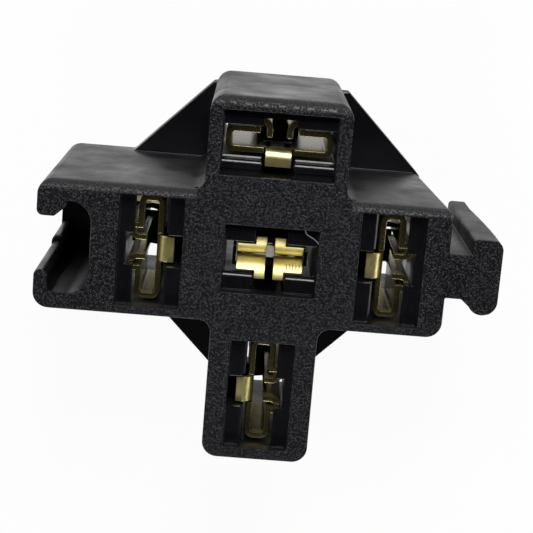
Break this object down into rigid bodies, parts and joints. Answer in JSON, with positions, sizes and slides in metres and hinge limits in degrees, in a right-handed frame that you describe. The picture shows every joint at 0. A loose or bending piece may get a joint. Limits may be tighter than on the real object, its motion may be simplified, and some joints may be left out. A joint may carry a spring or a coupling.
{
  "type": "relay socket",
  "caption": "Cross-shaped black plug-in relay socket with sprung brass blade contacts, a diamond flange, and a channel and a tongue for linking sockets side by side.",
  "frame": {"origin": "on the plane of the wire side, on the axis of the centre blade 87a", "axes": "+Z out of the relay face, +Y towards blade 87, +X towards blade 85 and the tongue"},
  "size_m": [0.0324, 0.0259, 0.017],
  "materials": {
    "black_nylon": "black moulded nylon, finely grained on the relay face and smooth at the sides",
    "brass": "bare stamped and rolled brass strip",
    "spring_steel": "plain spring steel strip"
  },
  "bodies": {
    "root": {"housing": "black_nylon", "receptacle_30": "brass", "receptacle_85": "brass", "receptacle_86": "brass", "receptacle_87": "brass", "centre_contact_87a": "brass", "centre_spring_87a": "spring_steel"}
  },
  "joints": []
}
